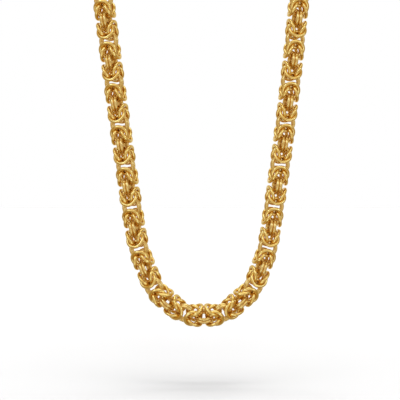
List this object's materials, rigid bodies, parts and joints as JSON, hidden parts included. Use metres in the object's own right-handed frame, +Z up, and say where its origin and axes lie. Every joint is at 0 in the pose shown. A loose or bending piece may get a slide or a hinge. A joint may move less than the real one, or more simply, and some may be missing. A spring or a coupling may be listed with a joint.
{
  "type": "byzantine chain necklace",
  "caption": "Gold byzantine chain necklace: round links folded through each other in knots between connector pairs, a whole loop with a plain clasp at the nape",
  "frame": {"origin": "middle of the clasp, where the chain hangs on the nape of the neck", "axes": "+Z up, +X to the wearer's left, -Y forward to the hanging front of the loop"},
  "size_m": [0.1107, 0.0972, 0.1852],
  "materials": {
    "gold": "polished 14 karat yellow gold"
  },
  "bodies": {
    "root": {"front_chain": "gold", "back_chain": "gold", "left_jump_ring": "gold", "right_jump_ring": "gold", "clasp": "gold"}
  },
  "joints": []
}
